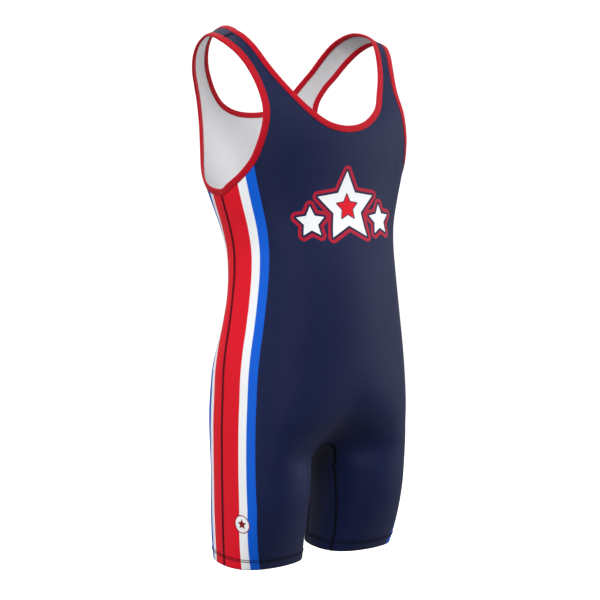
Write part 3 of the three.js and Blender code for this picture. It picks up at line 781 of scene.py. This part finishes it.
def zigzag(points, normals):
    """A thread that goes to and fro across a seam, lying on the cloth."""
    steps = 4
    path, lift, aside = resampled(points, normals, SEAM_PITCH / steps)
    phase = np.arange(len(path)) % steps
    swing = np.array([0.0, 1.0, 0.0, -1.0])[phase] * SEAM_HALF_WIDTH
    height = np.array([1.0, 0.35, 1.0, 0.35])[phase] * THREAD
    centres = path + aside * swing[:, None] + lift * height[:, None]
    return tubes(centres[None], lift[None], np.full(len(path), THREAD))


def stitches(points, normals, offset, kind, closed=False):
    """A row of single stitches beside a path. Each dips into the cloth at both its ends."""
    length, gap, radius = kind
    rings = 6
    steps = 10
    path, lift, aside = resampled(points, normals, (length + gap) / steps, closed)
    count = (len(path) - 1) // steps
    place = np.arange(count)[:, None] * steps + np.linspace(0, steps * length / (length + gap), rings)
    low = place.astype(int)
    part = (place - low)[..., None]
    base = path[low] * (1 - part) + path[low + 1] * part
    share = np.linspace(-1, 1, rings)
    height = radius * (1 - 1.9 * share**4)
    centres = base + aside[low] * offset + lift[low] * height[:, None]
    return tubes(centres, lift[low], radius * (1 - 0.3 * share**4))


def flat_seam(points, normals):
    """A flat seam: a zigzag between two rows of stitches."""
    return [
        zigzag(points, normals),
        stitches(points, normals, SEAM_HALF_WIDTH, SEAM_STITCH),
        stitches(points, normals, -SEAM_HALF_WIDTH, SEAM_STITCH),
    ]


def thread_object(name, runs, material):
    """One object of several threads, each a pair of points and faces."""
    places = []
    faces = []
    start = 0
    for points, cells in runs:
        places.append(points)
        faces += [[v + start for v in cell] for cell in cells]
        start += len(points)
    return mesh_object(name, np.concatenate(places) / 1000, faces, [material])


def both(points, normals):
    """A path and its mirror image on the wearer's right."""
    return ((points, normals), (mirrored(points), mirrored(normals)))


def side_seam():
    """The wearer's left side seam, from the hem up to the armhole's binding."""
    binding_below = 9
    level = np.linspace(HEM_Z + 1, UNDERARM_LEVEL - binding_below, 400)
    angle = np.zeros(len(level))
    return FRONT.point(angle, level), FRONT.normal(angle, level)


def shoulder_seam():
    """The wearer's left shoulder seam, from binding to binding."""
    neck = FRONT.cut_frame(True, np.array([1.0]))
    armhole = FRONT.cut_frame(False, np.array([1.0]))
    ends = [frame[0][0] + frame[2][0] * BINDING_REACH for frame in (neck, armhole)]
    angle = np.linspace(*ends, 12)
    level = np.full(len(angle), FRONT.shoulder)
    points = FRONT.point(angle, level)
    points[:, 1] = 0
    return points, FRONT.normal(angle, level - 2)


def gusset_seam(side):
    """One seam of the gusset on the wearer's left, from the hem over the arch to the centre line."""
    legs = leg_levels()
    angle, level = side.arch(np.arange(1, 60) / 59)
    angles = np.concatenate([side.gusset_angle(legs), angle])
    levels = np.concatenate([legs, level])
    points = side.point(angles, levels)
    normals = side.normal(angles, levels)
    points[-1, 0] = 0
    normals[-1, 0] = 0
    points = np.concatenate([points, mirrored(points)[-2::-1]])
    normals = np.concatenate([normals, mirrored(normals)[-2::-1]])
    return points, unit(normals)


def hem_line(height):
    """A level loop round the left leg, height over the hem's edge."""
    share = np.linspace(0, 1, 160)
    angle = share * math.pi
    level = np.full(len(angle), HEM_Z + height)
    points = []
    normals = []
    for side in (FRONT, BACK):
        points.append(side.point(angle, level))
        normals.append(side.normal(np.minimum(angle, math.pi - 0.02), level))
    normals[0][[0, -1], 1] = 0
    loop = np.concatenate([points[0], points[1][-2:0:-1]])
    lift = np.concatenate([normals[0], normals[1][-2:0:-1]])
    return loop, unit(lift)


# The knit and the cloth's shine. WALE and COURSE are in millimetres, the depths in metres.
WALE = 0.9
COURSE = 0.75
COURSE_SWAY = 1.1
WALE_SHARE = 0.6
KNIT_DEPTH = 0.00009
BINDING_DEPTH = 0.00014
RIPPLE_DEPTH = 0.0012
SHEEN_ROUGHNESS = 0.4
SPECULAR = 0.12


class Paint:
    """A cloth material, with short ways to add nodes to it."""

    def __init__(self, name, roughness, sheen):
        self.material = bpy.data.materials.new(name)
        self.material.use_nodes = True
        self.tree = self.material.node_tree
        self.shader = self.tree.nodes["Principled BSDF"]
        set_inputs(self.shader, {
            "Roughness": roughness,
            "Sheen Weight": sheen,
            "Sheen Roughness": SHEEN_ROUGHNESS,
            "Specular IOR Level": SPECULAR,
        })

    def put(self, value, socket):
        if isinstance(value, bpy.types.NodeSocket):
            self.tree.links.new(value, socket)
        else:
            socket.default_value = value

    def fact(self, name):
        node = self.tree.nodes.new("ShaderNodeAttribute")
        node.attribute_name = name
        return node.outputs["Fac"]

    def math(self, operation, first, second=0.0, third=0.0):
        node = self.tree.nodes.new("ShaderNodeMath")
        node.operation = operation
        for socket, value in zip(node.inputs, (first, second, third)):
            self.put(value, socket)
        return node.outputs[0]

    def times(self, first, second):
        return self.math("MULTIPLY", first, second)

    def minus(self, first, second):
        return self.math("SUBTRACT", first, second)

    def below(self, value, limit, soft=0.25):
        """1 where value is below limit, 0 above it, with a soft step between."""
        node = self.tree.nodes.new("ShaderNodeMapRange")
        self.put(value, node.inputs["Value"])
        set_inputs(node, {"From Min": limit - soft, "From Max": limit + soft, "To Min": 1, "To Max": 0})
        return node.outputs["Result"]

    def over(self, under, colour, mask):
        """colour laid over under where mask is 1."""
        node = self.tree.nodes.new("ShaderNodeMix")
        node.data_type = "RGBA"
        self.put(mask, node.inputs[0])
        self.put(under, node.inputs[6])
        self.put(colour, node.inputs[7])
        return node.outputs[2]

    def noise(self, scale, detail):
        place = self.tree.nodes.new("ShaderNodeTexCoord")
        node = self.tree.nodes.new("ShaderNodeTexNoise")
        set_inputs(node, {"Scale": scale, "Detail": detail})
        self.tree.links.new(place.outputs["Object"], node.inputs["Vector"])
        return node.outputs["Fac"]

    def length(self, u, v):
        return self.math("SQRT", self.math("MULTIPLY_ADD", u, u, self.times(v, v)))

    def star(self, across, level, x, y, radius):
        """Signed distance to a five-point star round x, y with one point up. Inside it is below 0."""
        u = self.minus(across, x)
        v = self.minus(level, y)
        tip = math.radians(36)
        fold = self.math("PINGPONG", self.math("ARCTAN2", u, v), tip)
        reach = self.length(u, v)
        along = self.minus(self.times(reach, self.math("COSINE", fold)), radius)
        aside = self.times(reach, self.math("SINE", fold))
        edge = Vector((math.cos(tip), math.sin(tip))) * radius * STAR_WAIST
        edge.x -= radius
        size = edge.length
        edge.normalize()
        part = self.math("MULTIPLY_ADD", along, edge.x, self.times(aside, edge.y))
        part = self.math("MAXIMUM", self.math("MINIMUM", part, size), 0.0)
        off_x = self.minus(along, self.times(part, edge.x))
        off_y = self.minus(aside, self.times(part, edge.y))
        cross = self.minus(self.times(along, edge.y), self.times(aside, edge.x))
        return self.times(self.length(off_x, off_y), self.math("SIGN", cross))

    def bump(self, height, strength, distance):
        node = self.tree.nodes.new("ShaderNodeBump")
        set_inputs(node, {"Strength": strength, "Distance": distance})
        self.put(height, node.inputs["Height"])
        return node

    def finish(self, colour, depth=KNIT_DEPTH, ripple=0.0):
        """Gives the shader its colour and a knit's fine relief: wales up the cloth, courses across it."""
        self.put(colour, self.shader.inputs["Base Color"])
        u = self.times(self.fact("side_distance"), 2 * math.pi / WALE)
        v = self.times(self.fact("level"), 2 * math.pi / COURSE)
        wales = self.math("SINE", u)
        courses = self.math("SINE", self.math("MULTIPLY_ADD", wales, COURSE_SWAY, v))
        knit = self.bump(self.math("MULTIPLY_ADD", wales, WALE_SHARE, courses), 0.6, depth)
        if ripple:
            soft = self.bump(self.noise(14, 1.5), 0.5, ripple)
            self.put(soft.outputs["Normal"], knit.inputs["Normal"])
        self.put(knit.outputs["Normal"], self.shader.inputs["Normal"])
        return self.material


# Colours in linear red, green and blue.
NAVY = (0.006, 0.0105, 0.05, 1)
BLUE = (0.0004, 0.1, 0.62, 1)
WHITE = (0.84, 0.85, 0.87, 1)
RED = (0.68, 0.0006, 0.014, 1)
BINDING_RED = (0.46, 0.001, 0.012, 1)
DARK_RED = (0.2, 0.004, 0.01, 1)
CRIMSON = (0.4, 0.006, 0.03, 1)
LINING = (0.62, 0.62, 0.64, 1)
DARK_THREAD = (0.003, 0.003, 0.008, 1)
RED_THREAD = (0.5, 0.005, 0.015, 1)

# How far the red, the white and the blue band reach from the side seam, in millimetres.
FRONT_BANDS = (41, 57, 73.5)
BACK_BANDS = (29, 41, 55)
BANDS_TOP = -150
# Towards the hem the bands run a little narrower.
BANDS_NARROW_FROM = -735
BANDS_NARROWING = 0.13


def outside_paint(name, printed):
    """The outer cloth: navy with side bands. If printed, also the prints on chest and right thigh."""
    paint = Paint(name, roughness=0.48, sheen=0.06)
    side = paint.fact("side_distance")
    level = paint.fact("level")
    middle = (BANDS_NARROW_FROM + HEM_Z) / 2
    narrowing = paint.below(level, middle, soft=BANDS_NARROW_FROM - middle)
    banded = paint.times(side, paint.math("MULTIPLY_ADD", narrowing, BANDS_NARROWING, 1.0))
    colour = NAVY
    if printed:
        across = paint.fact("centre_distance")
        colour = chest_print(paint, across, level, colour)
    body = paint.below(level, BANDS_TOP)
    red_to, white_to, blue_to = FRONT_BANDS if printed else BACK_BANDS
    for band, edge in ((BLUE, blue_to), (WHITE, white_to), (RED, red_to)):
        colour = paint.over(colour, band, paint.times(body, paint.below(banded, edge)))
    if printed:
        colour = thigh_disc(paint, side, level, across, colour)
    return paint.finish(colour, ripple=RIPPLE_DEPTH)


# The three stars of the chest print: across from the centre line, level, and radius, in millimetres.
CHEST_STARS = ((0, -275, 55), (-66, -296, 24), (66, -296, 24))
STAR_WAIST = 0.5
NAVY_GAP = 3.5
RED_LINE = 8.5
CORE_RADIUS = 20
CORE_GAP = 1.5


def chest_print(paint, across, level, colour):
    """White stars with a navy gap and a red line round them, and a red star in the middle one."""
    nearest = None
    for x, y, radius in CHEST_STARS:
        distance = paint.star(across, level, x, y, radius)
        nearest = distance if nearest is None else paint.math("MINIMUM", nearest, distance)
    core = paint.star(across, level, *CHEST_STARS[0][:2], CORE_RADIUS)
    for shade, distance, edge in (
        (CRIMSON, nearest, RED_LINE),
        (NAVY, nearest, NAVY_GAP),
        (WHITE, nearest, 0),
        (NAVY, core, CORE_GAP),
        (RED, core, 0),
    ):
        colour = paint.over(colour, shade, paint.below(distance, edge))
    return colour


# A plain white disc with a dark rim and a small star, over the side bands of the right leg.
DISC_SIDE = 45
DISC_LEVEL = -758
DISC_RADIUS = 14.5
DISC_RIM = 1.6
DISC_STAR = 8.5


def thigh_disc(paint, side, level, across, colour):
    reach = paint.length(paint.minus(side, DISC_SIDE), paint.minus(level, DISC_LEVEL))
    star = paint.star(side, level, DISC_SIDE, DISC_LEVEL, DISC_STAR)
    on_right = paint.below(across, 0)
    for shade, distance, edge in (
        (DARK_RED, reach, DISC_RADIUS),
        (WHITE, reach, DISC_RADIUS - DISC_RIM),
        (DARK_RED, star, 0),
    ):
        colour = paint.over(colour, shade, paint.times(paint.below(distance, edge), on_right))
    return colour


def plain_paint(name, colour, roughness, sheen=0.08, depth=KNIT_DEPTH):
    return Paint(name, roughness, sheen).finish(colour, depth=depth)


def ride(piece, slot, *nodes):
    """Ties a piece to the part's one body, and hides the nodes that it replaces. slot is not used."""
    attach(piece, "root")
    if nodes:
        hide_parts(*nodes)
    return piece


def build_suit():
    """All pieces of the suit."""
    front_cloth = outside_paint("front_cloth", True)
    back_cloth = outside_paint("back_cloth", False)
    lining = plain_paint("lining_cloth", LINING, roughness=0.75)
    binding_cloth = plain_paint(
        "binding_cloth", BINDING_RED, roughness=0.55, sheen=0.06, depth=BINDING_DEPTH
    )
    dark_thread = plain_paint("dark_thread", DARK_THREAD, roughness=0.5, sheen=0.02)
    red_thread = plain_paint("red_thread", RED_THREAD, roughness=0.5, sheen=0.1)

    front = ride(panel(FRONT, "front_panel_cloth", front_cloth, lining), "suit_cloth", "front_panel")
    back = ride(panel(BACK, "back_panel_cloth", back_cloth, lining), "suit_cloth", "back_panel")
    inner_leg = ride(gusset("gusset_cloth", back_cloth, lining), "suit_cloth", "gusset")

    seam_runs = []
    for points, normals in both(*side_seam()):
        seam_runs += flat_seam(points, normals)
    for points, normals in both(*shoulder_seam()):
        seam_runs.append(zigzag(points, normals))
    seam_thread = ride(thread_object("side_seam_thread", seam_runs, dark_thread), "suit_cloth")

    gusset_runs = []
    for side in (FRONT, BACK):
        gusset_runs += flat_seam(*gusset_seam(side))
    gusset_thread = ride(thread_object("gusset_seam_thread", gusset_runs, dark_thread), "suit_cloth")

    hem_runs = []
    for height in (HEM_DEPTH - HEM_ROW_GAP, HEM_DEPTH):
        for points, normals in both(*hem_line(height)):
            hem_runs.append(stitches(points, normals, 0, HEM_STITCH, closed=True))
    hem_thread = ride(thread_object("hem_thread", hem_runs, dark_thread), "suit_cloth")

    bindings = []
    for name, is_neck, is_right in (
        ("neck_binding", True, False),
        ("armhole_binding_left", False, False),
        ("armhole_binding_right", False, True),
    ):
        strip = ride(binding(name + "_cloth", is_neck, is_right, binding_cloth), "binding_cloth", name)
        inset, height = BINDING_GROOVE
        points, normals = (found[:, 0] for found in edge_loop(is_neck, np.array([inset]), [height]))
        if is_right:
            points = mirrored(points)
            normals = mirrored(normals)
        run = stitches(points, normals, 0, BINDING_STITCH, closed=True)
        thread = ride(thread_object(name + "_thread", [run], red_thread), "binding_cloth")
        bindings.append((strip, thread))
    return front, back, inner_leg, seam_thread, gusset_thread, hem_thread, bindings


# The photograph's own view, off the suit's right front, in metres, degrees and millimetres of lens.
CAMERA_PLACE = (-1.3343, -1.8365, -0.19)
CAMERA_TILT = 84.07
CAMERA_HEADING = -35.758
CAMERA_LENS = 85.92


def place_camera():
    data = bpy.data.cameras.new("camera")
    data.sensor_width = 36
    data.lens = CAMERA_LENS
    camera = placed("camera", data)
    camera.location = CAMERA_PLACE
    camera.rotation_euler = (math.radians(CAMERA_TILT), 0, math.radians(CAMERA_HEADING))
    bpy.context.scene.camera = camera


# Soft lights, aimed at the suit's middle: name, place and size in metres, power in watts.
LIGHTS = (
    ("key_light", (-2.0, -2.7, 2.0), (1.6, 1.6), 122),
    ("right_light", (2.7, -1.6, 0.5), (1.6, 2.0), 82),
    ("left_light", (-2.9, 0.9, 0.6), (1.8, 1.8), 48),
    ("back_light", (0.4, 1.7, 2.4), (1.6, 1.6), 26),
)
LIGHTS_AIM = (0, 0, -0.42)
WORLD_STRENGTH = 0.3
# The floor's level and reach, the radius of its sweep up into the wall, and the wall's top, in metres.
FLOOR_Z = -1.2
FLOOR_REACH = 7.0
FLOOR_BEND = 2.0
WALL_TOP = 9.0
FLOOR_GLOW = 0.78


def area_light(name, place, size, power):
    data = bpy.data.lights.new(name, "AREA")
    data.shape = "RECTANGLE"
    data.size, data.size_y = size
    data.energy = power
    light = placed(name, data)
    light.location = place
    light.rotation_euler = (Vector(LIGHTS_AIM) - Vector(place)).to_track_quat("-Z", "Y").to_euler()
    return light


def build_studio():
    """A pale round floor that sweeps up into a pale wall on every side, a soft world and soft lights."""
    profile = [(0.0, FLOOR_Z), (FLOOR_REACH, FLOOR_Z)]
    for turn in np.linspace(0, QUARTER, 13)[1:]:
        reach = FLOOR_REACH + FLOOR_BEND * math.sin(turn)
        profile.append((reach, FLOOR_Z + FLOOR_BEND * (1 - math.cos(turn))))
    profile.append((FLOOR_REACH + FLOOR_BEND, WALL_TOP))
    steps = 96
    places = []
    for reach, height in profile:
        for turn in np.linspace(0, 2 * math.pi, steps, endpoint=False):
            places.append((reach * math.cos(turn), reach * math.sin(turn), height))
    faces = []
    for ring in range(len(profile) - 1):
        for step in range(steps):
            here = ring * steps + step
            beside = ring * steps + (step + 1) % steps
            faces.append((here, beside, beside + steps, here + steps))
    pale = bpy.data.materials.new("studio_floor")
    pale.use_nodes = True
    set_inputs(pale.node_tree.nodes["Principled BSDF"], {
        "Base Color": (0.9, 0.9, 0.9, 1),
        "Roughness": 0.9,
        "Emission Color": (1, 1, 1, 1),
        "Emission Strength": FLOOR_GLOW,
    })
    floor = mesh_object("studio_floor", places, faces, [pale])
    # The bright floor is seen but throws no light of its own up at the suit.
    floor.visible_diffuse = False
    floor.visible_glossy = False
    floor.visible_shadow = False

    world = bpy.data.worlds.new("studio_world")
    world.use_nodes = True
    set_inputs(world.node_tree.nodes["Background"], {"Color": (1, 1, 1, 1), "Strength": WORLD_STRENGTH})
    bpy.context.scene.world = world
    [area_light(*light) for light in LIGHTS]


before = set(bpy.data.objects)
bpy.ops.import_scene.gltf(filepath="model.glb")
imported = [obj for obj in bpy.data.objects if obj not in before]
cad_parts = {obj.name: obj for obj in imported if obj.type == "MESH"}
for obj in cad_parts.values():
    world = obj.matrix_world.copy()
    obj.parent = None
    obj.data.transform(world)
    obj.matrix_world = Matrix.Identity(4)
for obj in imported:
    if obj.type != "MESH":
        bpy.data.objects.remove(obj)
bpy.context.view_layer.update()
suit = build_suit()
place_camera()
build_studio()
bpy.context.scene.view_settings.view_transform = "Standard"
